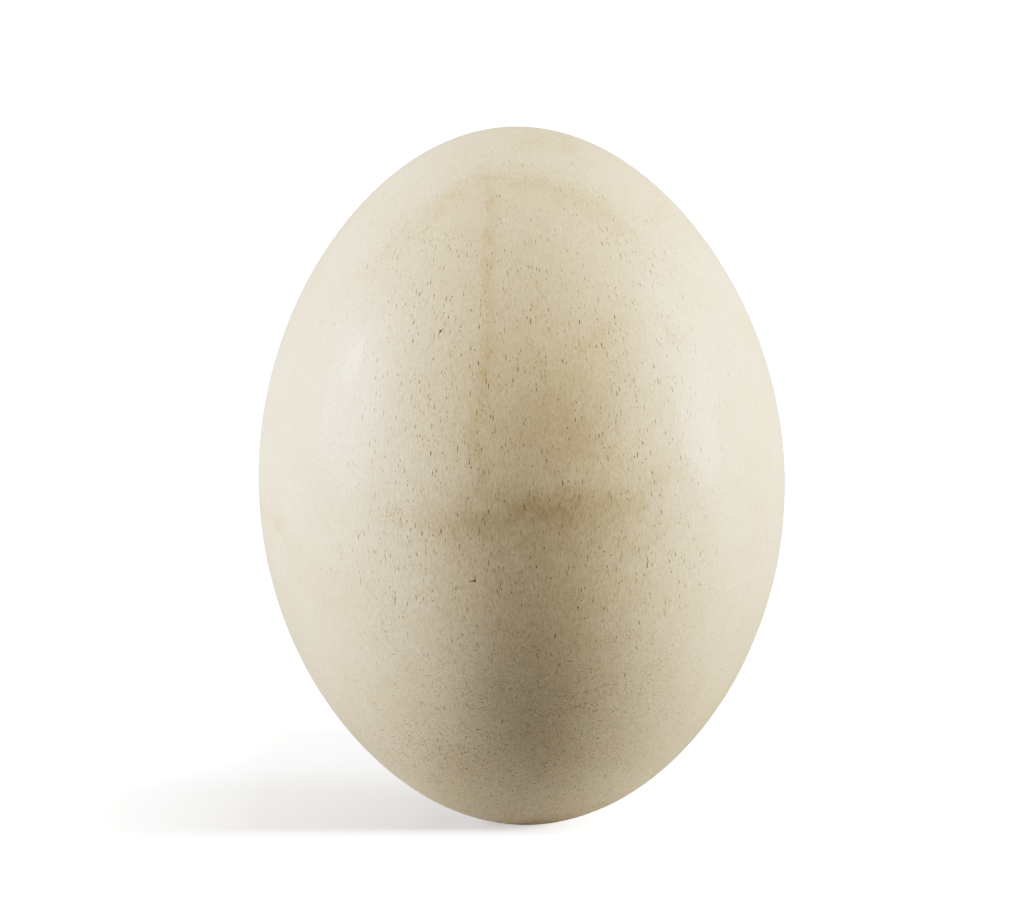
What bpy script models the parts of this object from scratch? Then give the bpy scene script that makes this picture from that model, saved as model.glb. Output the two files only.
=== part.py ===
"""Elephant bird egg: one whole eggshell, standing upright on a small flat spot at its blunt end.

The shell is one closed solid, turned about its long axis. The axis leans a little to -X, and the
blunt end is cut level, so that the egg stands on the plane Z = 0 with the middle of the spot at the
origin. Units are metres and +Z is up.
"""
import math

import bmesh
import bpy
from mathutils import Matrix

# Driving dimensions
EGG_LENGTH = 0.300
EGG_WIDTH = 0.225
# How far the outline departs from an ellipse: a little fuller towards the blunt end, and a little
# slimmer towards both ends
BLUNT_TERM = -0.0158
SLIM_TERM = -0.0636
LEAN = math.radians(1.6)
REST_SPOT_RADIUS = 0.013

# Facets around the shell, and from pole to pole
SEGMENTS = 72
RINGS = 40
WELD_DISTANCE = 0.00001

# Old polished eggshell: warm cream, with a soft gloss
SHELL_COLOUR = (0.730, 0.644, 0.480, 1.0)
SHELL_ROUGHNESS = 0.35


def clear_scene():
    """Removes what the scene held before."""
    for item in list(bpy.data.objects):
        bpy.data.objects.remove(item, do_unlink=True)


def make_material(name, colour, roughness):
    """Returns a Principled BSDF material of one colour."""
    material = bpy.data.materials.new(name)
    material.use_nodes = True
    surface = material.node_tree.nodes["Principled BSDF"]
    surface.inputs["Base Color"].default_value = colour
    surface.inputs["Roughness"].default_value = roughness
    surface.inputs["Metallic"].default_value = 0.0
    return material


def oval_point(latitude):
    """Returns the outline's radius and height, from -90 degrees at the blunt pole to 90 at the other."""
    rise = math.sin(latitude)
    fullness = 1 + BLUNT_TERM * rise + SLIM_TERM * rise ** 2
    return EGG_WIDTH / 2 * math.cos(latitude) * fullness, EGG_LENGTH / 2 * rise


def turn_outline(mesh):
    """Turns the oval outline once around the long axis, and closes it at both poles."""
    rim = []
    for step in range(RINGS + 1):
        radius, height = oval_point(math.pi * (step / RINGS - 0.5))
        rim.append(mesh.verts.new((radius, 0, height)))
    edges = [mesh.edges.new(pair) for pair in zip(rim, rim[1:])]
    bmesh.ops.spin(mesh, geom=rim + edges, axis=(0, 0, 1), angle=math.tau, steps=SEGMENTS, use_merge=True)
    bmesh.ops.remove_doubles(mesh, verts=mesh.verts, dist=WELD_DISTANCE)


def level_blunt_end(mesh):
    """Leans the egg, cuts its lowest part level, and puts the middle of the flat spot at the origin."""
    bmesh.ops.rotate(mesh, verts=mesh.verts, matrix=Matrix.Rotation(-LEAN, 3, "Y"))
    # Near its pole the oval is as good as an ellipsoid of the same length and of this radius
    end_radius = EGG_WIDTH / 2 * (1 - BLUNT_TERM + SLIM_TERM)
    lowest = -math.hypot(EGG_LENGTH / 2 * math.cos(LEAN), end_radius * math.sin(LEAN))
    depth = EGG_LENGTH / 4 * (REST_SPOT_RADIUS / end_radius) ** 2
    cut = bmesh.ops.bisect_plane(
        mesh,
        geom=mesh.verts[:] + mesh.edges[:] + mesh.faces[:],
        plane_co=(0, 0, lowest + depth),
        plane_no=(0, 0, 1),
        clear_inner=True,
    )
    rim = [item for item in cut["geom_cut"] if isinstance(item, bmesh.types.BMEdge)]
    spot = bmesh.ops.contextual_create(mesh, geom=rim)["faces"][0]
    bmesh.ops.translate(mesh, verts=mesh.verts, vec=-spot.calc_center_bounds())
    for vertex in spot.verts:
        vertex.co.z = 0
    return spot


def make_eggshell():
    """Builds the shell, round everywhere but on its flat spot."""
    mesh = bmesh.new()
    turn_outline(mesh)
    spot = level_blunt_end(mesh)
    for face in mesh.faces:
        face.smooth = face is not spot
    for edge in spot.edges:
        edge.smooth = False
    bmesh.ops.recalc_face_normals(mesh, faces=mesh.faces)
    data = bpy.data.meshes.new("eggshell")
    mesh.to_mesh(data)
    mesh.free()
    data.materials.append(make_material("eggshell", SHELL_COLOUR, SHELL_ROUGHNESS))
    shell = bpy.data.objects.new("eggshell", data)
    bpy.context.scene.collection.objects.link(shell)
    return shell


clear_scene()
make_eggshell()
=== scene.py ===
# %% [markdown]
# # The egg of an elephant bird
#
# The object is one piece: the thick shell of a very large egg, old, polished and stained. The packed
# model gives its plain solid. We put a finished shell around the same place: a smooth oval with real
# pores cut into it, and a material with grain, tide marks and a soft gloss.

# %% Load the frame
import math

import bpy
from mathutils import Matrix, Vector


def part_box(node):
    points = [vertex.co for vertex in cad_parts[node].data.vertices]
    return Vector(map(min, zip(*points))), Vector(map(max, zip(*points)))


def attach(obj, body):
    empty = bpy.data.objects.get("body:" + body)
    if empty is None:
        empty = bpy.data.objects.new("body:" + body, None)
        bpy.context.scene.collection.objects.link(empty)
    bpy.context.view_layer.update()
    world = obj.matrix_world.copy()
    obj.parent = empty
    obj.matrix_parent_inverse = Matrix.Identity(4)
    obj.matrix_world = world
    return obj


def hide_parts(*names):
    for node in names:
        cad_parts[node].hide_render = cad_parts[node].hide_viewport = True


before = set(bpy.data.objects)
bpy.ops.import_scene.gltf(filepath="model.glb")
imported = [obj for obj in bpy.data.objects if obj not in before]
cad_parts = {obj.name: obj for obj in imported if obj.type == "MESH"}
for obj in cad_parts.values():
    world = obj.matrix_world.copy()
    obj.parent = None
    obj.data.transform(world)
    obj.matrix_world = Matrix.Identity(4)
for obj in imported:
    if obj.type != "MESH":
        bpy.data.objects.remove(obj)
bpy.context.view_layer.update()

MM = 0.001

# %% [markdown]
# ## Where the egg is
#
# The egg stands on a small flat spot at the origin, with its blunt end down, and its long axis leans a
# little to the left. The outline is an ellipse with two small changes: a little fuller towards the
# blunt end, and a little slimmer towards both ends. The width and the middle of the egg are read from
# the plain solid, so that the shell we make lies exactly around it.

# %% Measure the egg
EGG_LENGTH = 0.300
BLUNT_TERM = -0.0158
SLIM_TERM = -0.0636
LEAN = math.radians(1.6)

shell_low, shell_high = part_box("eggshell")
egg_width = shell_high.y - shell_low.y
crown_radius = egg_width / 2 * (1 + BLUNT_TERM + SLIM_TERM)
crown_height = math.hypot(EGG_LENGTH / 2 * math.cos(LEAN), crown_radius * math.sin(LEAN))
egg_middle = Vector(((shell_low.x + shell_high.x) / 2, 0, shell_high.z - crown_height))
print("width", round(egg_width, 4), "middle", [round(value, 4) for value in egg_middle])

# %% [markdown]
# ## Camera
#
# We set the camera first, so that every later picture can be laid beside the photograph. The shot was
# taken from a little above, with a long lens, and the egg fills three quarters of the height. The
# camera aims at a point slightly up and left of the egg's middle, which puts the egg slightly down and
# right of the picture's middle.

# %% Place the camera
CAMERA_DISTANCE = 1.8
CAMERA_RISE = math.radians(8)
SENSOR_WIDTH = 36
VIEW_WIDTH = 0.4376
AIM_LEFT = 0.0041
AIM_UP = 0.0097


def look_at(item, target):
    """Turns a camera or a lamp, which look along their own -Z, towards a point."""
    item.rotation_euler = (target - item.location).to_track_quat("-Z", "Y").to_euler()


camera_data = bpy.data.cameras.new("camera")
camera_data.sensor_width = SENSOR_WIDTH
camera_data.lens = SENSOR_WIDTH * CAMERA_DISTANCE / VIEW_WIDTH
camera = bpy.data.objects.new("camera", camera_data)
bpy.context.scene.collection.objects.link(camera)
aim = egg_middle + Vector((-AIM_LEFT, 0, AIM_UP))
camera.location = aim + CAMERA_DISTANCE * Vector((0, -math.cos(CAMERA_RISE), math.sin(CAMERA_RISE)))
look_at(camera, aim)
bpy.context.scene.camera = camera
print("lens", round(camera_data.lens, 1), "mm, camera at", [round(value, 3) for value in camera.location])

# %% [markdown]
# ## Helpers for node trees
#
# A node tree is quicker to read when each node is one line. `feed` fills a socket, with a link when the
# value is another node's output and with a plain value otherwise. `add` makes a node with its options.

# %% Node helpers
def feed(tree, socket, value):
    """Puts a plain value on a socket, or links another node's output to it."""
    if isinstance(value, bpy.types.NodeSocket):
        tree.links.new(value, socket)
    else:
        socket.default_value = value


def add(tree, kind, inputs=None, **options):
    """Adds a node, sets its options and fills its inputs, which are given by name or by number."""
    node = tree.nodes.new(kind)
    for name, value in options.items():
        setattr(node, name, value)
    for name, value in (inputs or {}).items():
        feed(tree, node.inputs[name], value)
    return node


print("node helpers ready")

# %% [markdown]
# Most nodes in the trees below do sums. Each kind of sum has a helper that adds its node and returns the
# node's output, so that a sum reads like a line of plain Python.

# %% Helpers for numbers
def calc(tree, operation, *values):
    """Returns the output of a Math node."""
    return add(tree, "ShaderNodeMath", dict(enumerate(values)), operation=operation).outputs[0]


def times(tree, first, *others):
    """Returns the product of some values."""
    product = first
    for value in others:
        product = calc(tree, "MULTIPLY", product, value)
    return product


def step_between(tree, value, start, end):
    """Returns a smooth rise from 0 at the start to 1 at the end."""
    inputs = {"Value": value, "From Min": start, "From Max": end}
    return add(tree, "ShaderNodeMapRange", inputs, interpolation_type="SMOOTHSTEP").outputs["Result"]


def rescale(tree, value, start, end, low, high):
    """Returns a value's range of start to end spread over low to high."""
    inputs = {"Value": value, "From Min": start, "From Max": end, "To Min": low, "To Max": high}
    return add(tree, "ShaderNodeMapRange", inputs).outputs["Result"]


print("helpers for numbers ready")

# %% Helpers for vectors and noise
def vector_calc(tree, operation, *values):
    """Returns the vector output of a Vector Math node."""
    return add(tree, "ShaderNodeVectorMath", dict(enumerate(values)), operation=operation).outputs["Vector"]


def combine(tree, x, y, z):
    """Returns a vector made of three parts."""
    return add(tree, "ShaderNodeCombineXYZ", {"X": x, "Y": y, "Z": z}).outputs["Vector"]


def parts(tree, vector):
    """Returns the X, Y and Z of a vector."""
    return add(tree, "ShaderNodeSeparateXYZ", {"Vector": vector}).outputs


def stretch(tree, vector, factor):
    """Returns a vector made longer or shorter by a factor."""
    return vector_calc(tree, "MULTIPLY", vector, combine(tree, factor, factor, factor))


def length_of(tree, vector):
    """Returns the length of a vector."""
    return add(tree, "ShaderNodeVectorMath", {0: vector}, operation="LENGTH").outputs["Value"]


def reach_along(tree, vector, direction):
    """Returns how far a vector reaches along a direction."""
    node = add(tree, "ShaderNodeVectorMath", {0: vector, 1: direction}, operation="DOT_PRODUCT")
    return node.outputs["Value"]


def noise(tree, place, size, detail=2.0, roughness=0.5):
    """Returns soft noise from 0 to 1, with blotches of about the given size in metres."""
    inputs = {"Vector": place, "Scale": 1 / size, "Detail": detail, "Roughness": roughness}
    return add(tree, "ShaderNodeTexNoise", inputs)


print("helpers for vectors ready")

# %% [markdown]
# A node group has named inputs and outputs, which Blender 4.5 keeps in the tree's interface. The next
# helper makes them from two small tables.

# %% Helper for new trees
def new_tree(name, kind, inputs, outputs):
    """Starts a node group, and returns it with its input sockets by name and its output node."""
    tree = bpy.data.node_groups.new(name, kind)
    for socket_name, socket_type in inputs.items():
        tree.interface.new_socket(socket_name, in_out="INPUT", socket_type="NodeSocket" + socket_type)
    for socket_name, socket_type in outputs.items():
        tree.interface.new_socket(socket_name, in_out="OUTPUT", socket_type="NodeSocket" + socket_type)
    return tree, tree.nodes.new("NodeGroupInput").outputs, tree.nodes.new("NodeGroupOutput").inputs


print("tree helper ready")

# %% [markdown]
# ## The shell's shape
#
# The shell grew as a body turned about one axis, so its shape follows a rule, and Geometry Nodes can
# work it out: a round ball is stretched by the formula of the outline. The same tree gives it a slight
# unevenness, as every natural shell has, leans it, and cuts the flat spot. The tree has named inputs,
# so that another egg needs only other numbers.

# %% Start the tree for the oval shell
shape_inputs = {
    "Geometry": "Geometry",
    "Length": "Float",
    "Width": "Float",
    "Blunt Term": "Float",
    "Slim Term": "Float",
    "Lean": "Float",
    "Middle": "Vector",
    "Unevenness": "Float",
    "Material": "Material",
}
oval_tree, given, result = new_tree("oval shell", "GeometryNodeTree", shape_inputs, {"Geometry": "Geometry"})
print("oval tree has", len(given), "inputs")

# %% Stretch a ball into the oval
SHELL_SEGMENTS = 120
SHELL_RINGS = 90
UNEVEN_SIZE = 0.055

ball_size = {"Segments": SHELL_SEGMENTS, "Rings": SHELL_RINGS, "Radius": 1.0}
ball = add(oval_tree, "GeometryNodeMeshUVSphere", ball_size)
ball_place = add(oval_tree, "GeometryNodeInputPosition").outputs["Position"]
rise = parts(oval_tree, ball_place)["Z"]
blunt_part = times(oval_tree, given["Blunt Term"], rise)
slim_part = times(oval_tree, given["Slim Term"], times(oval_tree, rise, rise))
fullness = calc(oval_tree, "ADD", 1.0, calc(oval_tree, "ADD", blunt_part, slim_part))
half_width = times(oval_tree, calc(oval_tree, "DIVIDE", given["Width"], 2.0), fullness)
half_length = calc(oval_tree, "DIVIDE", given["Length"], 2.0)
oval_size = combine(oval_tree, half_width, half_width, half_length)
oval_place = vector_calc(oval_tree, "MULTIPLY", ball_place, oval_size)
lumps = noise(oval_tree, oval_place, UNEVEN_SIZE, detail=1.0).outputs[0]
swell = times(oval_tree, calc(oval_tree, "SUBTRACT", lumps, 0.5), given["Unevenness"])
uneven_place = vector_calc(oval_tree, "ADD", oval_place, stretch(oval_tree, ball_place, swell))
print("oval tree has", len(oval_tree.nodes), "nodes")

# %% [markdown]
# The upright oval is now leaned and lifted to its place, and a block below the floor's level is cut away
# from it. What is left under the egg is the flat spot that it stands on.

# %% Lean the oval and cut its flat spot
CUT_BLOCK = 0.2

lean_inputs = {"Vector": uneven_place, "Angle": given["Lean"]}
leaning = add(oval_tree, "ShaderNodeVectorRotate", lean_inputs, rotation_type="Y_AXIS").outputs["Vector"]
final_place = vector_calc(oval_tree, "ADD", leaning, given["Middle"])
oval = add(oval_tree, "GeometryNodeSetPosition", {"Geometry": ball.outputs["Mesh"], "Position": final_place})
block = add(oval_tree, "GeometryNodeMeshCube", {"Size": (CUT_BLOCK, CUT_BLOCK, CUT_BLOCK)})
block_place = {"Geometry": block.outputs["Mesh"], "Translation": (0, 0, -CUT_BLOCK / 2)}
lowered = add(oval_tree, "GeometryNodeTransform", block_place)
levelled = add(
    oval_tree,
    "GeometryNodeMeshBoolean",
    {"Mesh 1": oval.outputs["Geometry"], "Mesh 2": lowered.outputs["Geometry"]},
    operation="DIFFERENCE",
    solver="MANIFOLD",
)
real_shell = add(oval_tree, "GeometryNodeRealizeInstances", {"Geometry": levelled.outputs["Mesh"]})
shell_finish = {"Geometry": real_shell.outputs["Geometry"], "Material": given["Material"]}
finished = add(oval_tree, "GeometryNodeSetMaterial", shell_finish)
feed(oval_tree, result["Geometry"], finished.outputs["Geometry"])
print("oval tree has", len(oval_tree.nodes), "nodes")

# %% [markdown]
# A Geometry Nodes modifier keeps its values under each socket's identifier, not its name. The next
# helper sets them by name all the same, asks Blender for the result, and stores it as a plain mesh, so
# that no modifier is left on the piece.

# %% Run a tree and keep its mesh
def run_tree(tree, source, name, values):
    """Runs a Geometry Nodes tree on a mesh and returns the result as a plain mesh."""
    holder = bpy.data.objects.new(name, source)
    bpy.context.scene.collection.objects.link(holder)
    modifier = holder.modifiers.new(name, "NODES")
    modifier.node_group = tree
    for socket in tree.interface.items_tree:
        if socket.in_out == "INPUT" and socket.name in values:
            modifier[socket.identifier] = values[socket.name]
    evaluated = holder.evaluated_get(bpy.context.evaluated_depsgraph_get())
    mesh = bpy.data.meshes.new_from_object(evaluated)
    bpy.data.objects.remove(holder)
    # The source mesh has no material of its own, which leaves an empty first slot
    if mesh.materials[0] is None:
        mesh.materials.pop(index=0)
    mesh.name = name
    return mesh


shell_material = bpy.data.materials.new("polished eggshell")
pore_material = bpy.data.materials.new("dirt in the pores")
shell_values = {
    "Length": EGG_LENGTH,
    "Width": egg_width,
    "Blunt Term": BLUNT_TERM,
    "Slim Term": SLIM_TERM,
    "Lean": -LEAN,
    "Middle": egg_middle,
    "Unevenness": 0.4 * MM,
    "Material": shell_material,
}
smooth_shell = run_tree(oval_tree, bpy.data.meshes.new("seed"), "smooth_shell", shell_values)
print("smooth shell:", len(smooth_shell.vertices), "points")

# %% [markdown]
# ## The pores
#
# An eggshell breathes through pores. On this one they open into short slits that run along the shell,
# two or three millimetres long, and dark with old dirt. Painted dots would look flat from the side, so
# we cut real pits. One small pointed lens is scattered thousands of times over the shell, turned so that
# its long side runs from pole to pole, and all of them are then cut away at once.

# %% Start the tree for the pore cutters
pore_inputs = {
    "Geometry": "Geometry",
    "Spacing": "Float",
    "Crowding": "Float",
    "Slit Length": "Float",
    "Slit Width": "Float",
    "Slit Depth": "Float",
    "Axis": "Vector",
    "Lower Zone": "Float",
    "Seed": "Int",
    "Material": "Material",
}
pore_tree, given, result = new_tree("pore cutters", "GeometryNodeTree", pore_inputs, {"Geometry": "Geometry"})


def random_between(tree, low, high, seed):
    """Returns a random number for each point."""
    node = add(tree, "FunctionNodeRandomValue", {"Seed": seed}, data_type="FLOAT")
    feed(tree, node.inputs[2], low)
    feed(tree, node.inputs[3], high)
    return node.outputs[1]


print("pore tree has", len(given), "inputs")

# %% [markdown]
# The pores crowd together in clusters, and in chains that run up the shell. A round noise makes the
# clusters, and a noise that is drawn out along the egg makes the chains. The sides are worn smooth and
# have fewer pores, and the flat spot has none.

# %% Scatter the pores
CLUSTER_SIZE = 11 * MM
CHAIN_SIZE = 2.2 * MM
CHAIN_STRETCH = (1.0, 1.0, 0.14)
SPOT_CLEARANCE = 3 * MM
SIDE_FROM = 50 * MM
SIDE_TO = 95 * MM
SIDE_CROWD = 0.3

point_place = add(pore_tree, "GeometryNodeInputPosition").outputs["Position"]
point_part = parts(pore_tree, point_place)
height = point_part["Z"]
clusters = noise(pore_tree, point_place, CLUSTER_SIZE, detail=1.0).outputs[0]
drawn_out = vector_calc(pore_tree, "MULTIPLY", point_place, CHAIN_STRETCH)
chains = noise(pore_tree, drawn_out, CHAIN_SIZE, detail=1.0).outputs[0]
cluster_crowd = rescale(pore_tree, clusters, 0.35, 0.65, 0.35, 1.0)
chain_crowd = rescale(pore_tree, chains, 0.40, 0.60, 0.15, 1.0)
off_middle = calc(pore_tree, "ABSOLUTE", point_part["X"])
on_side = step_between(pore_tree, off_middle, SIDE_FROM, SIDE_TO)
side_crowd = rescale(pore_tree, on_side, 0.0, 1.0, 1.0, SIDE_CROWD)
off_spot = calc(pore_tree, "GREATER_THAN", height, SPOT_CLEARANCE)
scatter_inputs = {
    "Mesh": given["Geometry"],
    "Distance Min": given["Spacing"],
    "Density Max": given["Crowding"],
    "Density Factor": times(pore_tree, cluster_crowd, chain_crowd, side_crowd, off_spot),
    "Seed": given["Seed"],
}
scatter = add(pore_tree, "GeometryNodeDistributePointsOnFaces", scatter_inputs, distribute_method="POISSON")
print("pore tree has", len(pore_tree.nodes), "nodes")

# %% [markdown]
# Each cutter is first turned to face out of the shell, then its long side is swung towards the pole, and
# last it gets a small turn of its own. Near the blunt end the pores lie every way.

# %% Turn each cutter
ZONE_FADE = 1.6
FREE_TURN = 1.4
UPRIGHT_TURN = 0.16
TURN_SEED = 11

zone_top = times(pore_tree, given["Lower Zone"], ZONE_FADE)
upright_share = step_between(pore_tree, height, given["Lower Zone"], zone_top)
facing = add(pore_tree, "FunctionNodeAlignRotationToVector", {"Vector": scatter.outputs["Normal"]}, axis="Z")
along_inputs = {"Rotation": facing.outputs[0], "Vector": given["Axis"]}
along = add(pore_tree, "FunctionNodeAlignRotationToVector", along_inputs, axis="Y", pivot_axis="Z")
turn_limit = rescale(pore_tree, upright_share, 0.0, 1.0, FREE_TURN, UPRIGHT_TURN)
turn = times(pore_tree, random_between(pore_tree, -1.0, 1.0, TURN_SEED), turn_limit)
twist = add(pore_tree, "FunctionNodeAxisAngleToRotation", {"Axis": (0, 0, 1), "Angle": turn})
turned_inputs = {"Rotation": along.outputs[0], "Rotate By": twist.outputs[0]}
turned = add(pore_tree, "FunctionNodeRotateRotation", turned_inputs, rotation_space="LOCAL")
print("pore tree has", len(pore_tree.nodes), "nodes")

# %% [markdown]
# Most pores are short and narrow, and a few are long and broad. A random number raised to a power gives
# such a mix, because it makes most of the numbers small.

# %% Size each cutter
PORE_CROWN_FROM = 245 * MM
PORE_CROWN_TO = 285 * MM
LENGTH_SEED = 12
WIDTH_SEED = 13
DEPTH_SEED = 14

long_share = calc(pore_tree, "POWER", random_between(pore_tree, 0.0, 1.0, LENGTH_SEED), 3.0)
length_share = rescale(pore_tree, long_share, 0.0, 1.0, 0.4, 1.5)
zone_share = rescale(pore_tree, upright_share, 0.0, 1.0, 0.65, 1.0)
half_slit = times(pore_tree, given["Slit Length"], 0.5, length_share, zone_share)
broad_share = calc(pore_tree, "POWER", random_between(pore_tree, 0.0, 1.0, WIDTH_SEED), 2.0)
width_share = rescale(pore_tree, broad_share, 0.0, 1.0, 0.3, 0.65)
side_share = rescale(pore_tree, on_side, 0.0, 1.0, 1.0, 0.5)
on_crown = step_between(pore_tree, height, PORE_CROWN_FROM, PORE_CROWN_TO)
crown_share = rescale(pore_tree, on_crown, 0.0, 1.0, 1.0, 0.5)
across_share = times(pore_tree, zone_share, calc(pore_tree, "MINIMUM", side_share, crown_share))
half_across = times(pore_tree, given["Slit Width"], width_share, across_share)
depth = times(pore_tree, given["Slit Depth"], random_between(pore_tree, 0.6, 1.3, DEPTH_SEED))
print("pore tree has", len(pore_tree.nodes), "nodes")

# %% Place the cutters
LENS_SEGMENTS = 6
LENS_RINGS = 2

lens_size = {"Segments": LENS_SEGMENTS, "Rings": LENS_RINGS, "Radius": 1.0}
lens = add(pore_tree, "GeometryNodeMeshUVSphere", lens_size)
placing = {
    "Points": scatter.outputs["Points"],
    "Instance": lens.outputs["Mesh"],
    "Rotation": turned.outputs[0],
    "Scale": combine(pore_tree, half_across, half_slit, depth),
}
pores = add(pore_tree, "GeometryNodeInstanceOnPoints", placing)
real_pores = add(pore_tree, "GeometryNodeRealizeInstances", {"Geometry": pores.outputs["Instances"]})
pore_finish = {"Geometry": real_pores.outputs["Geometry"], "Material": given["Material"]}
dark_pores = add(pore_tree, "GeometryNodeSetMaterial", pore_finish)
feed(pore_tree, result["Geometry"], dark_pores.outputs["Geometry"])
print("pore tree has", len(pore_tree.nodes), "nodes")

# %% [markdown]
# The cutters are one mesh now. A Boolean modifier takes them out of the shell, and the walls of every
# pit keep the cutters' dark material.

# %% Cut the pores
egg_axis = Vector((-math.sin(LEAN), 0, math.cos(LEAN)))
pore_values = {
    "Spacing": 1.2 * MM,
    "Crowding": 140000,
    "Slit Length": 2.4 * MM,
    "Slit Width": 0.38 * MM,
    "Slit Depth": 0.25 * MM,
    "Axis": egg_axis,
    "Lower Zone": 0.075,
    "Seed": 5,
    "Material": pore_material,
}
cutter_mesh = run_tree(pore_tree, smooth_shell, "pore_cutters", pore_values)
cutters = bpy.data.objects.new("pore_cutters", cutter_mesh)
blank = bpy.data.objects.new("blank", smooth_shell)
bpy.context.scene.collection.objects.link(cutters)
bpy.context.scene.collection.objects.link(blank)
cut = blank.modifiers.new("pores", "BOOLEAN")
cut.operation = "DIFFERENCE"
cut.solver = "MANIFOLD"
cut.material_mode = "TRANSFER"
cut.object = cutters
shell_mesh = bpy.data.meshes.new_from_object(blank.evaluated_get(bpy.context.evaluated_depsgraph_get()))
shell_mesh.name = "eggshell"
bpy.data.objects.remove(blank)
bpy.data.objects.remove(cutters)
print("materials on the cut shell:", [material.name for material in shell_mesh.materials])
print("faces:", len(shell_mesh.polygons))

# %% [markdown]
# The rim of each pit is marked sharp, so that the shell's smooth shading doesn't run down into the hole.
# A rim is an edge that has a face of each material.

# %% Finish the mesh
pit_index = shell_mesh.materials.find(pore_material.name)
face_kinds = [face.material_index for face in shell_mesh.polygons]
shell_mesh.polygons.foreach_set("use_smooth", [True] * len(shell_mesh.polygons))
faces_of_edge = {}
for face in shell_mesh.polygons:
    for key in face.edge_keys:
        faces_of_edge.setdefault(key, set()).add(face.material_index)
for edge in shell_mesh.edges:
    edge.use_edge_sharp = len(faces_of_edge[edge.key]) > 1
shell_mesh.calc_loop_triangles()
print("pit faces:", face_kinds.count(pit_index), "triangles in all:", len(shell_mesh.loop_triangles))

eggshell = bpy.data.objects.new("polished_eggshell", shell_mesh)
bpy.context.scene.collection.objects.link(eggshell)

# %% [markdown]
# ## Materials: shared effects
#
# Both materials start from the same place on the egg. The first group undoes the egg's lean, so that
# patterns can be laid along its axis, and adds a small wander, because no stain has a straight edge.

# %% Group for the place on the egg
WANDER_SIZE = 17 * MM
WANDER_REACH = 8 * MM

place_outputs = {"Place": "Vector", "Wandering Place": "Vector"}
place_inputs = {"Object": "Vector"}
place_tree, given, result = new_tree("place on the egg", "ShaderNodeTree", place_inputs, place_outputs)
to_middle = vector_calc(place_tree, "SUBTRACT", given["Object"], egg_middle)
upright_inputs = {"Vector": to_middle, "Angle": LEAN}
straight = add(place_tree, "ShaderNodeVectorRotate", upright_inputs, rotation_type="Y_AXIS").outputs["Vector"]
drift = noise(place_tree, straight, WANDER_SIZE, detail=2.5).outputs["Color"]
centred_drift = vector_calc(place_tree, "SUBTRACT", drift, (0.5, 0.5, 0.5))
reach = vector_calc(place_tree, "MULTIPLY", centred_drift, (WANDER_REACH, WANDER_REACH, WANDER_REACH))
feed(place_tree, result["Place"], straight)
feed(place_tree, result["Wandering Place"], vector_calc(place_tree, "ADD", straight, reach))
print("place group has", len(place_tree.nodes), "nodes")

# %% [markdown]
# A tide mark is where damp soil once ended: a thin brown line with a soft haze about it. The group takes
# the distance from a line and gives back the stain, from a narrow core and a broad haze.

# %% Group for a tide mark
CORE_SHARE = 0.6
HAZE_SHARE = 0.4
HAZE_FALL = -1.6

mark_inputs = {"Off Line": "Float", "Width": "Float", "Haze": "Float", "Presence": "Float"}
mark_tree, given, result = new_tree("tide mark", "ShaderNodeTree", mark_inputs, {"Mark": "Float"})
off_share = calc(mark_tree, "DIVIDE", given["Off Line"], given["Width"])
off_square = calc(mark_tree, "POWER", calc(mark_tree, "ABSOLUTE", off_share), 2.0)
core = calc(mark_tree, "EXPONENT", times(mark_tree, off_square, -1.0))
haze_share = calc(mark_tree, "DIVIDE", calc(mark_tree, "ABSOLUTE", given["Off Line"]), given["Haze"])
haze = calc(mark_tree, "EXPONENT", times(mark_tree, haze_share, HAZE_FALL))
strength = calc(mark_tree, "ADD", times(mark_tree, core, CORE_SHARE), times(mark_tree, haze, HAZE_SHARE))
feed(mark_tree, result["Mark"], times(mark_tree, strength, given["Presence"]))
print("tide mark group has", len(mark_tree.nodes), "nodes")

# %% [markdown]
# The shell's own surface has a fine upright grain, cloudy patches, and thousands of marks too small to
# cut: short upright dashes over most of it, and scratches that lie every way near the blunt end. Each
# cell of a Voronoi texture holds one mark. We lay the way from the cell's point flat on the shell, and
# measure how far a place is from a short line through that point, so the marks are clean at any size.

# %% Helper for dash marks
def flatten(tree, vector, outward):
    """Returns a vector without its part along the outward direction."""
    return vector_calc(tree, "SUBTRACT", vector, stretch(tree, outward, reach_along(tree, vector, outward)))


def dash_marks(tree, place, outward, cell, jitter, upright, half_width, half_length, keep):
    """Returns short dashes, one in each kept cell, that run about upright or every way."""
    scaled = vector_calc(tree, "DIVIDE", place, cell)
    cells = add(tree, "ShaderNodeTexVoronoi", {"Vector": scaled, "Scale": 1.0}).outputs
    from_point = vector_calc(tree, "SUBTRACT", scaled, cells["Position"])
    offset = flatten(tree, vector_calc(tree, "MULTIPLY", from_point, cell), outward)
    random_turn = vector_calc(tree, "SUBTRACT", cells["Color"], (0.5, 0.5, 0.5))
    turned = vector_calc(tree, "MULTIPLY", random_turn, (jitter, jitter, jitter))
    leaning = flatten(tree, vector_calc(tree, "ADD", turned, (0.0, 0.0, upright)), outward)
    direction = vector_calc(tree, "NORMALIZE", leaning)
    run = reach_along(tree, offset, direction)
    across = length_of(tree, vector_calc(tree, "SUBTRACT", offset, stretch(tree, direction, run)))
    pick = add(tree, "ShaderNodeSeparateColor", {"Color": cells["Color"]}).outputs
    strength = step_between(tree, pick[1], 1 - keep, 1.0)
    reach = times(tree, half_length, rescale(tree, pick[2], 0.0, 1.0, 0.4, 1.0))
    thin = step_between(tree, across, half_width, half_width * 0.3)
    short = step_between(tree, calc(tree, "DIVIDE", calc(tree, "ABSOLUTE", run), reach), 1.0, 0.5)
    return times(tree, thin, short, strength)


print("dash helper ready")

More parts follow.
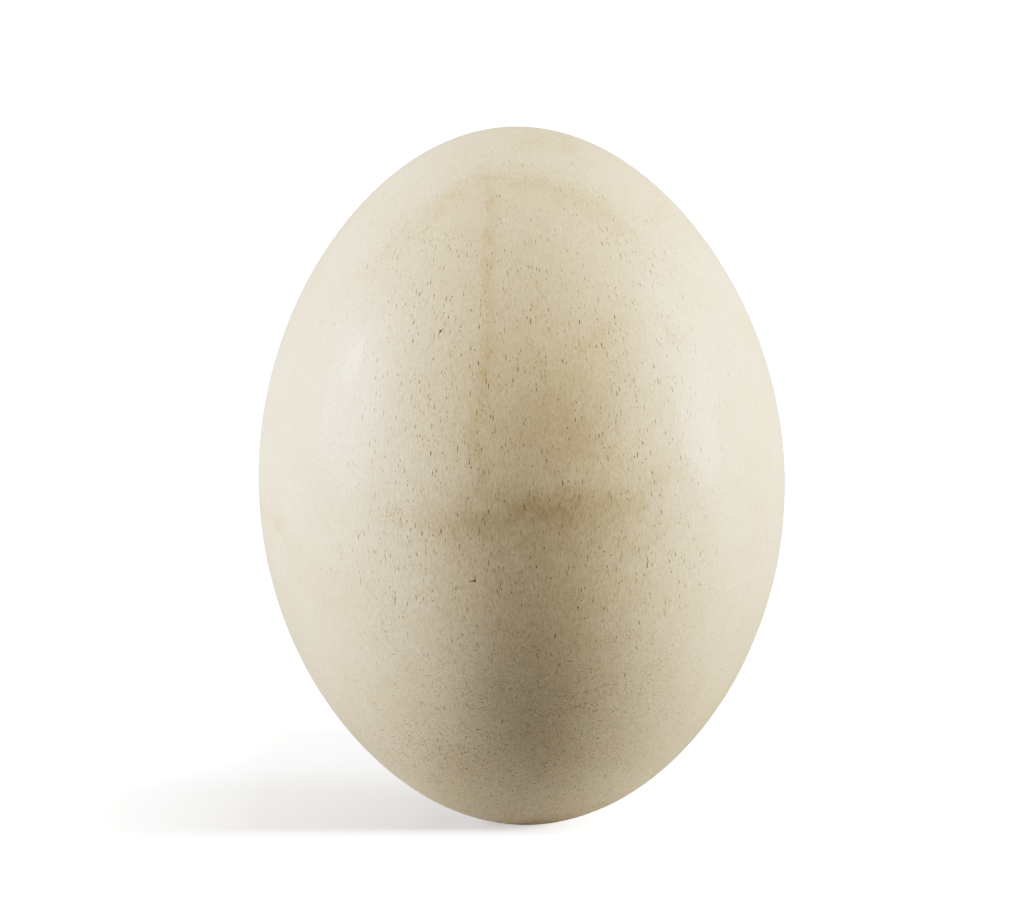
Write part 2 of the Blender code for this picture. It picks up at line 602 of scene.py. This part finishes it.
# %% [markdown]
# The surface group first finds its zones. The grain runs along the egg between the blunt end and the
# crown, so it is laid on an unrolled map: the way round the axis is spread on a belt, and the latitude
# stands for the height. At the crown and the blunt end the grain is round.

# %% Zones of the shell
UPRIGHT_FROM = -75 * MM
UPRIGHT_TO = -35 * MM
CROWN_FROM = 112 * MM
CROWN_TO = 136 * MM
BELT_RADIUS = 110 * MM
MERIDIAN_RADIUS = 120 * MM

fine_names = ["Grain", "Clouds", "Mottle", "Breaks", "Dashes", "Scratches", "Relief"]
fine_sockets = {name: "Float" for name in fine_names}
fine_tree, given, result = new_tree("fine shell surface", "ShaderNodeTree", {"Place": "Vector"}, fine_sockets)
fine_place = given["Place"]
fine_height = parts(fine_tree, fine_place)["Z"]
above_blunt = step_between(fine_tree, fine_height, UPRIGHT_FROM, UPRIGHT_TO)
blunt_zone = calc(fine_tree, "SUBTRACT", 1.0, above_blunt)
below_crown = step_between(fine_tree, fine_height, CROWN_TO, CROWN_FROM)
upright_zone = times(fine_tree, above_blunt, below_crown)
flat_place = vector_calc(fine_tree, "MULTIPLY", fine_place, (1.0, 1.0, 0.0))
away = vector_calc(fine_tree, "NORMALIZE", flat_place)
outward = vector_calc(fine_tree, "NORMALIZE", fine_place)
belt = vector_calc(fine_tree, "MULTIPLY", away, (BELT_RADIUS, BELT_RADIUS, 0.0))
angle_up = calc(fine_tree, "ARCTAN2", fine_height, length_of(fine_tree, flat_place))
latitude = times(fine_tree, angle_up, MERIDIAN_RADIUS)
unrolled = vector_calc(fine_tree, "ADD", belt, combine(fine_tree, 0.0, 0.0, latitude))
print("fine surface group has", len(fine_tree.nodes), "nodes")

# %% [markdown]
# Every soft pattern is a noise of its own size. The relief joins the grain with a slight orange peel,
# and goes to the Bump node. It is far too shallow to change the outline.

# %% Grain, clouds and relief
GRAIN_STRETCH = (1.0, 1.0, 0.26)
LONG_GRAIN_SIZE = 0.7 * MM
ROUND_GRAIN_SIZE = 0.8 * MM
CLOUD_SIZE = 24 * MM
MOTTLE_SIZE = 7 * MM
BREAK_SIZE = 9 * MM
PEEL_SIZE = 2.2 * MM
PEEL_SHARE = 0.5
GRAIN_SHARE = 0.8

upright_map = vector_calc(fine_tree, "MULTIPLY", unrolled, GRAIN_STRETCH)
long_grain = noise(fine_tree, upright_map, LONG_GRAIN_SIZE, detail=2.0).outputs[0]
round_grain = noise(fine_tree, fine_place, ROUND_GRAIN_SIZE, detail=2.0).outputs[0]
grain = rescale(fine_tree, upright_zone, 0.0, 1.0, round_grain, long_grain)
clouds = noise(fine_tree, fine_place, CLOUD_SIZE, detail=4.0, roughness=0.6).outputs[0]
mottle = noise(fine_tree, fine_place, MOTTLE_SIZE, detail=3.0, roughness=0.6).outputs[0]
break_noise = noise(fine_tree, fine_place, BREAK_SIZE, detail=3.0).outputs[0]
breaks = rescale(fine_tree, break_noise, 0.35, 0.65, 0.5, 1.0)
peel = noise(fine_tree, fine_place, PEEL_SIZE, detail=2.0).outputs[0]
relief = calc(fine_tree, "ADD", times(fine_tree, peel, PEEL_SHARE), times(fine_tree, grain, GRAIN_SHARE))
print("fine surface group has", len(fine_tree.nodes), "nodes")

# %% Dashes and scratches
# Each kind: its cell, how much it turns, how upright it is, half its width and length, and the share kept
DASHES = ((0.75 * MM, 0.75 * MM, 2.1 * MM), 0.4, 1.0, 0.22 * MM, 1.15 * MM, 0.7)
SCRATCHES = ((1.35 * MM, 1.35 * MM, 1.35 * MM), 1.0, 0.0, 0.19 * MM, 1.1 * MM, 0.85)
LONG_SCRATCHES = ((3.0 * MM, 3.0 * MM, 3.0 * MM), 1.0, 0.0, 0.21 * MM, 1.6 * MM, 0.3)
HUDDLE_SIZE = 6 * MM
SHORT_SCRATCH_SHARE = 0.7
DASHES_ELSEWHERE = 0.15
SCRATCHES_ELSEWHERE = 0.35

upright_dashes = dash_marks(fine_tree, unrolled, away, *DASHES)
dash_zone = rescale(fine_tree, upright_zone, 0.0, 1.0, DASHES_ELSEWHERE, 1.0)
short_scratches = dash_marks(fine_tree, fine_place, outward, *SCRATCHES)
huddle_noise = noise(fine_tree, fine_place, HUDDLE_SIZE, detail=1.0).outputs[0]
huddle = rescale(fine_tree, huddle_noise, 0.35, 0.65, 0.5, 1.2)
short_scratches = times(fine_tree, short_scratches, huddle, SHORT_SCRATCH_SHARE)
long_scratches = dash_marks(fine_tree, fine_place, outward, *LONG_SCRATCHES)
both_scratches = calc(fine_tree, "MAXIMUM", short_scratches, long_scratches)
scratch_zone = rescale(fine_tree, blunt_zone, 0.0, 1.0, SCRATCHES_ELSEWHERE, 1.0)
dashes = times(fine_tree, upright_dashes, dash_zone)
scratches = times(fine_tree, both_scratches, scratch_zone)
for name, value in zip(fine_names, [grain, clouds, mottle, breaks, dashes, scratches, relief]):
    feed(fine_tree, result[name], value)
print("fine surface group has", len(fine_tree.nodes), "nodes")

# %% [markdown]
# ## The stains
#
# Each stain line is a few points, given in millimetres on the egg seen from one side, with a
# smooth curve through them. A Float Curve node holds the curve, and the distance from it goes into the
# tide mark group. A broad stain is a soft patch: strongest at its middle, and fading all round.

# %% Draw stain lines
def group_node(tree, group, **inputs):
    """Places a node group in a tree and fills its inputs."""
    node = tree.nodes.new("ShaderNodeGroup")
    node.node_tree = group
    for name, value in inputs.items():
        feed(tree, node.inputs[name.replace("_", " ").title()], value)
    return node.outputs


def line_through(tree, along, points):
    """Returns how far across a line runs, for a place along it, from (along, across) points in mm."""
    starts, acrosses = zip(*points)
    low, high = min(acrosses), max(acrosses)
    share = rescale(tree, along, starts[0] * MM, starts[-1] * MM, 0.0, 1.0)
    node = add(tree, "ShaderNodeFloatCurve", {"Value": share})
    curve = node.mapping.curves[0]
    spots = [((a - starts[0]) / (starts[-1] - starts[0]), (b - low) / (high - low)) for a, b in points]
    curve.points[0].location = spots[0]
    curve.points[1].location = spots[-1]
    for spot in spots[1:-1]:
        curve.points.new(*spot)
    node.mapping.update()
    return rescale(tree, node.outputs["Value"], 0.0, 1.0, low * MM, high * MM)


def draw_line(tree, along, across, side, points, look):
    """Returns the stain of one line, whose look is its width, its haze and the fade at its ends, in mm."""
    width, haze, fade = look
    off = calc(tree, "SUBTRACT", across, line_through(tree, along, points))
    first, last = points[0][0] * MM, points[-1][0] * MM
    fade_in = step_between(tree, along, first, first + fade * MM)
    fade_out = step_between(tree, along, last, last - fade * MM)
    presence = times(tree, fade_in, fade_out, side)
    values = {"off_line": off, "width": width * MM, "haze": haze * MM, "presence": presence}
    return group_node(tree, mark_tree, **values)["Mark"]


def soft_patch(tree, place, middle, size):
    """Returns a soft round patch, 1 at its middle, for a middle and half sizes in mm."""
    shifted = vector_calc(tree, "SUBTRACT", place, tuple(part * MM for part in middle))
    scaled = vector_calc(tree, "DIVIDE", shifted, tuple(part * MM for part in size))
    reach = length_of(tree, scaled)
    return calc(tree, "EXPONENT", times(tree, reach, reach, -1.0))


print("stain helpers ready")

# %% [markdown]
# ## The shell's material
#
# Old shell is warm cream. Damp has drawn tan lines on it, and handling has polished it to a soft gloss
# that is duller where it is stained. We mix the colours in the order in which they came: the shell
# first, then clouds, stains and grain, then dirt in the finest marks. The strongest stains are a dark
# band across the front, and fainter patches on the sides and the back.

# %% Colours of the shell
CREAM = (0.755, 0.640, 0.455, 1.0)
PALE_CREAM = (0.785, 0.680, 0.505, 1.0)
TAN = (0.580, 0.440, 0.262, 1.0)
DEEP_TAN = (0.410, 0.322, 0.195, 1.0)
DULL_TAN = (0.500, 0.375, 0.215, 1.0)
BROWN = (0.235, 0.150, 0.070, 1.0)
DARK_PATCHES = [
    ((14, -111, 2), (36, 60, 11), 0.82),
    ((-18, -110, -1), (20, 60, 9), 0.66),
    ((10, -110, -1), (56, 60, 18), 0.44),
    ((19, -110, 36), (20, 60, 20), 0.42),
    ((30, 104, 4), (34, 50, 9), 0.3),
    ((-46, 92, 12), (22, 50, 7), 0.22),
    ((-100, 20, 50), (50, 24, 20), 0.16),
    ((104, 14, -34), (50, 28, 12), 0.2),
    ((-104, -30, -36), (24, 60, 55), 0.24),
    ((104, -30, -30), (26, 60, 55), 0.24),
]
RUST = (0.230, 0.095, 0.045, 1.0)
RUST_MIDDLE = (-50, -60, -106)
RUST_SIZE = (22, 50, 14)
PORE_DARK = (0.120, 0.075, 0.035, 1.0)
PORE_TAN = (0.500, 0.370, 0.210, 1.0)
print("dark patches:", len(DARK_PATCHES))

# %% [markdown]
# Each point of a line is a place along it and a place across it. An upright line has its height first, a
# level one its place to the right. The arc near the crown is measured from a middle: first the angle in
# degrees, then the distance. A look is a line's width, its haze and the fade at its ends.

# %% Paths of the stain lines
UPRIGHT_LINE = [
    (6, -16), (26, -17), (35, -18), (47, -15), (60, -13),
    (78, -11), (92, -11), (115, -10), (138, -10),
]
BAND_LINE = [(-66, 2), (-48, 1), (-35, -3), (-22, -2), (-9, 2), (10, 3), (29, 3), (42, 3), (55, 12), (68, 13)]
ARC_MIDDLE = (-5, 75)
ARC_LINE = [
    (2, 59), (14, 61), (23, 62), (39, 60), (61, 56), (84, 56),
    (94, 57), (111, 54), (132, 53), (150, 56), (168, 62), (182, 70),
]
CROWN_LINE = [(55, 71), (66, 74), (73, 74), (80, 72), (86, 68), (92, 58)]
SPOT_LINE = [(50, 82), (54, 80), (57, 75), (63, 68), (70, 65), (76, 64)]
DIAGONAL_LINE = [(14, 53), (22, 60), (26, 66), (31, 70), (38, 73), (48, 77)]
BRANCH_LINE = [(48, 110), (53, 112), (58, 114), (63, 117), (70, 121)]
BACK_UPRIGHT_LINE = [(-30, 36), (0, 26), (25, 30), (50, 24), (85, 28), (118, 18)]
BACK_BAND_LINE = [(-85, 20), (-60, 12), (-35, 16), (-10, 6), (20, 12), (50, 2), (85, 10)]
BACK_ARC_LINE = [(-74, 54), (-50, 92), (-25, 108), (0, 112), (30, 104), (55, 84), (78, 46)]
RIGHT_SIDE_LINE = [(-24, 8), (0, 12), (25, 20), (50, 14), (85, 24), (112, 16)]
LEFT_SIDE_LINE = [(-58, -16), (-30, -8), (0, -12), (25, -4), (55, 4)]
THIN = (3.0, 9, 12)
BROAD = (4.5, 12, 14)
LONG_FADE = (4.5, 12, 40)
print("paths ready")


# %% Start a material
def mix_colour(tree, share, under, over):
    """Returns one colour laid over another by a share from 0 to 1."""
    node = add(tree, "ShaderNodeMix", data_type="RGBA")
    feed(tree, node.inputs[0], share)
    feed(tree, node.inputs[6], under)
    feed(tree, node.inputs[7], over)
    return node.outputs[2]


def start_material(material):
    """Clears a material's tree and returns it with a Principled shader and the place on the egg."""
    material.use_nodes = True
    tree = material.node_tree
    tree.nodes.clear()
    surface = tree.nodes.new("ShaderNodeBsdfPrincipled")
    output = tree.nodes.new("ShaderNodeOutputMaterial")
    tree.links.new(surface.outputs["BSDF"], output.inputs["Surface"])
    place = tree.nodes.new("ShaderNodeTexCoord").outputs["Object"]
    return tree, surface.inputs, group_node(tree, place_tree, object=place)


print("material helpers ready")

# %% [markdown]
# A line is drawn through the whole egg, so each one is kept to the face that it belongs to. The lines
# follow the wandering place, and the faces follow the plain one.

# %% Faces of the egg and the arc
SIDE_BLEND = 10 * MM
HALF_STRENGTH = 0.6
BAND_STRENGTH = 0.45
ARC_RIGHT = 0.85
ARC_LEFT = 0.7

tree, surface, spots = start_material(shell_material)
place, wandering = spots["Place"], spots["Wandering Place"]
fine = group_node(tree, fine_tree, place=place)
plain = parts(tree, place)
wavy = parts(tree, wandering)
front = step_between(tree, plain["Y"], 0.0, -SIDE_BLEND)
half_front = times(tree, front, HALF_STRENGTH)
band_front = times(tree, front, BAND_STRENGTH)
half_back = times(tree, step_between(tree, plain["Y"], 0.0, SIDE_BLEND), HALF_STRENGTH)
right_side = times(tree, step_between(tree, plain["X"], 0.0, SIDE_BLEND), HALF_STRENGTH)
left_side = times(tree, step_between(tree, plain["X"], 0.0, -SIDE_BLEND), HALF_STRENGTH)

arc_x = calc(tree, "SUBTRACT", wavy["X"], ARC_MIDDLE[0] * MM)
arc_z = calc(tree, "SUBTRACT", wavy["Z"], ARC_MIDDLE[1] * MM)
# One degree counts as one millimetre along the arc
arc_along = times(tree, calc(tree, "ARCTAN2", arc_z, arc_x), math.degrees(1) * MM)
arc_across = calc(tree, "SQRT", calc(tree, "ADD", times(tree, arc_x, arc_x), times(tree, arc_z, arc_z)))
arc_front = times(tree, front, rescale(tree, arc_along, 90 * MM, 120 * MM, ARC_RIGHT, ARC_LEFT))
arc_off = calc(tree, "SUBTRACT", arc_across, line_through(tree, arc_along, ARC_LINE))
print("shell material has", len(tree.nodes), "nodes")

# %% Join the stain lines
lines = [
    (wavy["Z"], wavy["X"], front, UPRIGHT_LINE, THIN),
    (wavy["X"], wavy["Z"], band_front, BAND_LINE, BROAD),
    (arc_along, arc_across, arc_front, ARC_LINE, LONG_FADE),
    (arc_along, arc_across, half_front, CROWN_LINE, THIN),
    (wavy["X"], wavy["Z"], half_front, SPOT_LINE, THIN),
    (wavy["X"], wavy["Z"], half_front, DIAGONAL_LINE, THIN),
    (wavy["X"], wavy["Z"], half_front, BRANCH_LINE, THIN),
    (wavy["Z"], wavy["X"], half_back, BACK_UPRIGHT_LINE, THIN),
    (wavy["X"], wavy["Z"], half_back, BACK_BAND_LINE, BROAD),
    (wavy["X"], wavy["Z"], half_back, BACK_ARC_LINE, BROAD),
    (wavy["Z"], wavy["Y"], right_side, RIGHT_SIDE_LINE, THIN),
    (wavy["Y"], wavy["Z"], left_side, LEFT_SIDE_LINE, BROAD),
]
stain = 0.0
for line in lines:
    stain = calc(tree, "MAXIMUM", stain, draw_line(tree, *line))
# One noise breaks every line, so that each is stronger in some stretches than in others
stain = times(tree, stain, fine["Breaks"])
print("stain lines:", len(lines))

# %% [markdown]
# The colours are laid one over the other. The inside of the arc is a little more tan than the shell
# around it. The middle of the front is more tan as well: partly a tint of the shell, and partly painted
# shade where the side lights don't reach.

# %% Shell, clouds and stains
TAN_AND_SHADE_MIDDLE = ((12, -108, 20), (43, 70, 108))
TAN_STRENGTH = 0.5
CAP_STRENGTH = 0.26
STAIN_STRENGTH = 0.95

colour = mix_colour(tree, step_between(tree, fine["Clouds"], 0.35, 0.65), CREAM, PALE_CREAM)
mottling = rescale(tree, fine["Mottle"], 0.35, 0.65, 0.75, 1.15)
streaking = times(tree, mottling, rescale(tree, fine["Grain"], 0.35, 0.65, 0.75, 1.2))
# Tan middle of the front: partly the shell's own tint, partly painted shade of its dark middle
tan_and_shade_middle = times(tree, soft_patch(tree, wandering, *TAN_AND_SHADE_MIDDLE), mottling, TAN_STRENGTH)
colour = mix_colour(tree, tan_and_shade_middle, colour, TAN)
inside_arc = times(tree, step_between(tree, arc_off, 5 * MM, -12 * MM), front)
cap = times(tree, inside_arc, rescale(tree, fine["Clouds"], 0.3, 0.7, 0.5, 1.0), CAP_STRENGTH)
colour = mix_colour(tree, cap, colour, TAN)
colour = mix_colour(tree, times(tree, stain, streaking, STAIN_STRENGTH), colour, TAN)
patches = 0.0
for middle, size, depth in DARK_PATCHES:
    patch = times(tree, soft_patch(tree, place, middle, size), depth)
    patches = calc(tree, "MAXIMUM", patches, patch)
colour = mix_colour(tree, times(tree, patches, streaking), colour, DEEP_TAN)
print("shell material has", len(tree.nodes), "nodes")

# %% [markdown]
# The grain and the fine marks come last. On the brightly lit sides they are painted half as strong, a
# painted wash-out of the light there, and a small cluster of scratches low on the left is rust brown.

# %% Grain and fine marks
FADING_FROM = 40 * MM
FADING_TO = 95 * MM
FADED_SHARE = 0.5
GRAIN_STRENGTH = 0.38
DASH_STRENGTH = 0.36

# Painted wash-out: the marks fade towards the sides, where the lights are brightest
lit_side_fading = rescale(tree, calc(tree, "ABSOLUTE", plain["X"]), FADING_FROM, FADING_TO, 1.0, FADED_SHARE)
dark_grain = times(tree, step_between(tree, fine["Grain"], 0.4, 0.7), GRAIN_STRENGTH, lit_side_fading)
colour = mix_colour(tree, dark_grain, colour, DULL_TAN)
fine_marks = calc(tree, "MAXIMUM", times(tree, fine["Dashes"], DASH_STRENGTH), fine["Scratches"])
colour = mix_colour(tree, times(tree, fine_marks, lit_side_fading), colour, BROWN)
rust = soft_patch(tree, wandering, RUST_MIDDLE, RUST_SIZE)
rust_marks = times(tree, rust, rescale(tree, fine["Scratches"], 0.0, 0.6, 0.06, 0.9))
colour = mix_colour(tree, rust_marks, colour, RUST)
feed(tree, surface["Base Color"], colour)
print("shell material has", len(tree.nodes), "nodes")

# %% [markdown]
# The gloss is a broad sheen with a thin, smoother coat over it, as on shell that many hands have rubbed.
# The relief of grain and peel is a twentieth of a millimetre deep and only breaks up the sheen.

# %% Gloss and relief of the shell
SMOOTH_ROUGHNESS = 0.46
STAINED_ROUGHNESS = 0.58
RELIEF_DEPTH = 0.05 * MM
RELIEF_STRENGTH = 0.6

dullness = calc(tree, "ADD", fine["Clouds"], stain)
feed(tree, surface["Roughness"], rescale(tree, dullness, 0.3, 1.3, SMOOTH_ROUGHNESS, STAINED_ROUGHNESS))
surface["Specular IOR Level"].default_value = 0.2
surface["Coat Weight"].default_value = 0.08
surface["Coat Roughness"].default_value = 0.12
relief_inputs = {"Height": fine["Relief"], "Distance": RELIEF_DEPTH, "Strength": RELIEF_STRENGTH}
feed(tree, surface["Normal"], add(tree, "ShaderNodeBump", relief_inputs).outputs["Normal"])
print("shell material has", len(tree.nodes), "nodes")

# %% [markdown]
# The pits hold dirt of many tones: some pores are nearly black, and others are filled to a light tan. On
# the brightly lit sides most of them are painted light tan as well, a painted wash-out of the light there.

# %% Build the pores' material
DIRT_SIZE = 5 * MM

tree, surface, spots = start_material(pore_material)
dirt = noise(tree, spots["Place"], DIRT_SIZE, detail=1.0).outputs[0]
off_middle = calc(tree, "ABSOLUTE", parts(tree, spots["Place"])["X"])
# Painted wash-out: pores towards the lit sides turn light tan
lit_side_paling = rescale(tree, off_middle, 50 * MM, 90 * MM, 0.0, 0.7)
fill_and_washout = calc(tree, "MAXIMUM", step_between(tree, dirt, 0.35, 0.65), lit_side_paling)
feed(tree, surface["Base Color"], mix_colour(tree, fill_and_washout, PORE_DARK, PORE_TAN))
surface["Roughness"].default_value = 0.85
print("pore material has", len(tree.nodes), "nodes")

# %% [markdown]
# ## Floor, backdrop and light
#
# The photograph has a plain white ground, with a soft shade on it at the left. The ground gives light
# back at the sides only, because a dark lane runs from the camera to the egg, and this keeps the egg's
# middle dark. The camera doesn't see the lane: a Light Path node gives it a plain white ground.

# %% Floor
FLOOR_SIZE = 6.0
floor_reach = FLOOR_SIZE / 2
corners = [(-1, -1, 0), (1, -1, 0), (1, 1, 0), (-1, 1, 0)]
floor_mesh = bpy.data.meshes.new("floor")
floor_mesh.from_pydata([(x * floor_reach, y * floor_reach, z) for x, y, z in corners], [], [(0, 1, 2, 3)])
floor = bpy.data.objects.new("floor", floor_mesh)
bpy.context.scene.collection.objects.link(floor)
floor_material = bpy.data.materials.new("white floor")
floor_material.use_nodes = True
floor_tree = floor_material.node_tree
floor_tree.nodes.clear()
floor_mesh.materials.append(floor_material)
print("floor", FLOOR_SIZE, "m")

# %% Light that the floor gives back
LANE_INSIDE = 0.05
LANE_OUTSIDE = 0.5
LANE_BOUNCE = 0.03
SIDE_BOUNCE = 0.78
FOOT_SIZE = (120, 120, 100)
FOOT_BOUNCE = 0.56

seen = add(floor_tree, "ShaderNodeLightPath").outputs["Is Camera Ray"]
floor_place = floor_tree.nodes.new("ShaderNodeTexCoord").outputs["Object"]
floor_part = parts(floor_tree, floor_place)
off_lane = calc(floor_tree, "ABSOLUTE", floor_part["X"])
lane_bounce = rescale(floor_tree, off_lane, LANE_INSIDE, LANE_OUTSIDE, LANE_BOUNCE, SIDE_BOUNCE)
foot_bounce = times(floor_tree, soft_patch(floor_tree, floor_place, (0, 0, 0), FOOT_SIZE), FOOT_BOUNCE)
bounce = calc(floor_tree, "MAXIMUM", lane_bounce, foot_bounce)
print("floor material has", len(floor_tree.nodes), "nodes")

# %% [markdown]
# The egg's shade is a wedge to its left. It has a clear near edge and a soft far edge, and deepens towards
# the egg. We lay it on the ground that the camera sees. At the right a faint glow clears the shadow that
# the lights at the left would cast.

# %% Ground that the camera sees
SEEN_FLOOR = (4.4, 4.4, 4.4, 1.0)
BLACK = (0.0, 0.0, 0.0, 1.0)
SHADE_END = -195 * MM
SHADE_MIDDLE = -115 * MM
SHADE_START = -35 * MM
FAR_DEPTH = 0.66
NEAR_DEPTH = 0.21
CLEAR_SIDE = (330, 0, 0)
CLEAR_SIZE = (300, 400, 100)
CLEAR_GLOW = 1.2

far_shade = rescale(floor_tree, floor_part["X"], SHADE_END, SHADE_MIDDLE, 0.0, FAR_DEPTH)
near_shade = rescale(floor_tree, floor_part["X"], SHADE_MIDDLE, SHADE_START, 0.0, NEAR_DEPTH)
right_edge = step_between(floor_tree, floor_part["X"], 15 * MM, -15 * MM)
near_edge = step_between(floor_tree, floor_part["Y"], -45 * MM, -18 * MM)
far_edge = step_between(floor_tree, floor_part["Y"], 240 * MM, 180 * MM)
paling = rescale(floor_tree, floor_part["Y"], 0.0, 170 * MM, 1.0, 0.8)
both_shades = calc(floor_tree, "ADD", far_shade, near_shade)
shade = times(floor_tree, both_shades, right_edge, near_edge, far_edge, paling)
seen_colour = mix_colour(floor_tree, shade, SEEN_FLOOR, BLACK)
floor_colour = mix_colour(floor_tree, seen, combine(floor_tree, bounce, bounce, bounce), seen_colour)
floor_surface = add(floor_tree, "ShaderNodeBsdfDiffuse", {"Color": floor_colour})
clear = times(floor_tree, soft_patch(floor_tree, floor_place, CLEAR_SIDE, CLEAR_SIZE), CLEAR_GLOW, seen)
glow = add(floor_tree, "ShaderNodeEmission", {"Strength": clear})
both = {0: floor_surface.outputs["BSDF"], 1: glow.outputs["Emission"]}
lit_floor = add(floor_tree, "ShaderNodeAddShader", both)
floor_output = floor_tree.nodes.new("ShaderNodeOutputMaterial")
floor_tree.links.new(lit_floor.outputs["Shader"], floor_output.inputs["Surface"])
print("floor material has", len(floor_tree.nodes), "nodes")

# %% [markdown]
# Five broad soft lights stand far off at the egg's left and right. They light its sides and leave its
# middle dark. The small one at the left makes the bright spot there, and those at the right are warmer.

# %% Lights
LIGHT_DISTANCE = 2
NEUTRAL = (1.0, 1.0, 1.01)
WARM = (1.0, 0.977, 0.92)
# Name, degrees to the right of the camera, degrees up, strength, spread in degrees, and tint
LIGHTS = [
    ("left_light", -82.3, 14, 3.25, 39, NEUTRAL),
    ("left_spot_light", -91, 21, 0.8, 10, NEUTRAL),
    ("right_low_light", 86.5, 8, 2.15, 22, WARM),
    ("right_high_light", 92, 28, 1.35, 26, WARM),
    ("right_top_light", 81, 56, 1.28, 40, WARM),
]
for name, azimuth, elevation, strength, spread, tint in LIGHTS:
    data = bpy.data.lights.new(name, "SUN")
    data.energy = strength
    data.color = tint
    data.angle = math.radians(spread)
    lamp = bpy.data.objects.new(name, data)
    bpy.context.scene.collection.objects.link(lamp)
    turn, rise = math.radians(azimuth), math.radians(elevation)
    direction = Vector((math.sin(turn) * math.cos(rise), -math.cos(turn) * math.cos(rise), math.sin(rise)))
    lamp.location = LIGHT_DISTANCE * direction
    look_at(lamp, Vector((0, 0, 0)))
print("lights:", [item[0] for item in LIGHTS])

# %% [markdown]
# The world is white where the camera sees it. For the egg it is a dim room that is lit from behind.

# %% World
ROOM_FRONT = (0.0, 0.0, 0.0, 1.0)
ROOM_BACK = (0.2, 0.2, 0.2, 1.0)
BACKDROP = (4.0, 4.0, 4.0, 1.0)

world = bpy.data.worlds.new("white backdrop")
bpy.context.scene.world = world
world.use_nodes = True
world_tree = world.node_tree
world_tree.nodes.clear()
seen = add(world_tree, "ShaderNodeLightPath").outputs["Is Camera Ray"]
room_direction = world_tree.nodes.new("ShaderNodeTexCoord").outputs["Generated"]
to_back = step_between(world_tree, parts(world_tree, room_direction)["Y"], -0.3, 0.8)
room_colour = mix_colour(world_tree, to_back, ROOM_FRONT, ROOM_BACK)
world_colour = mix_colour(world_tree, seen, room_colour, BACKDROP)
backdrop = add(world_tree, "ShaderNodeBackground", {"Color": world_colour})
world_output = world_tree.nodes.new("ShaderNodeOutputWorld")
world_tree.links.new(backdrop.outputs["Background"], world_output.inputs["Surface"])
print("world has", len(world_tree.nodes), "nodes")

# %% [markdown]
# A camera doesn't answer light evenly. Mid tones gain contrast, and bright ones level off and lose some
# of their colour, which is why the sides of the egg look flat and pale beside its dark warm middle. One
# tone curve on the scene's colour management does the same.

# %% Tone curve
CURVE_WHITE = 2.4
CURVE_TOP = 1.06
CURVE_HALF = 0.41
CURVE_POWER = 1.45
CURVE_POINTS = 16
view = bpy.context.scene.view_settings
view.view_transform = "Standard"
view.use_curve_mapping = True
tone_map = view.curve_mapping
tone_map.white_level = (CURVE_WHITE, CURVE_WHITE, CURVE_WHITE)
tone_curve = tone_map.curves[3]
tone_curve.points[0].location = (0.0, 0.0)
tone_curve.points[1].location = (1.0, 1.0)
for step in range(1, CURVE_POINTS):
    share = (step / CURVE_POINTS) ** 2
    answer = CURVE_TOP / (1 + (CURVE_HALF / (share * CURVE_WHITE)) ** CURVE_POWER)
    tone_curve.points.new(share, min(answer, 1.0))
tone_map.update()
print("tone curve has", len(tone_curve.points), "points")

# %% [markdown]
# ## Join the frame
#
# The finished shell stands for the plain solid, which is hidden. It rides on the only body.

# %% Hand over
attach(eggshell, "root")
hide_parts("eggshell")
